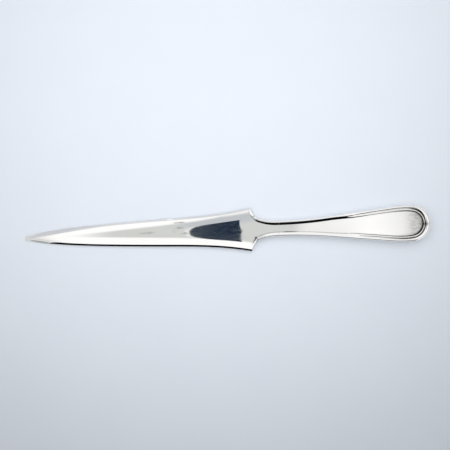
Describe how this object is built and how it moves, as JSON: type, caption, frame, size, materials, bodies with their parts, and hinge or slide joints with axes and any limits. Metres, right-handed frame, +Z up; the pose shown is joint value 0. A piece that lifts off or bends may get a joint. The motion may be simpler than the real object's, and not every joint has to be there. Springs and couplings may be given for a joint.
{
  "type": "letter opener",
  "caption": "Polished silver letter opener: a long double-edged blade with a flared shoulder, and a flat spatula-shaped hollow handle with a raised double thread border.",
  "frame": {"origin": "centre of the box round the part, on the surface that it lies on", "axes": "+X along the length, from the point of the blade towards the round end of the handle; +Y across the width; +Z up from the back to the front face"},
  "size_m": [0.19, 0.0202, 0.005],
  "materials": {
    "silver": "polished sterling silver with fine hairline scratches",
    "solder": "polished silver solder",
    "cement": "matt brown handle cement"
  },
  "bodies": {
    "root": {"blade": "silver", "handle_front": "silver", "handle_back": "silver", "seam_solder": "solder", "neck_solder": "solder", "handle_filler": "cement"}
  },
  "joints": []
}
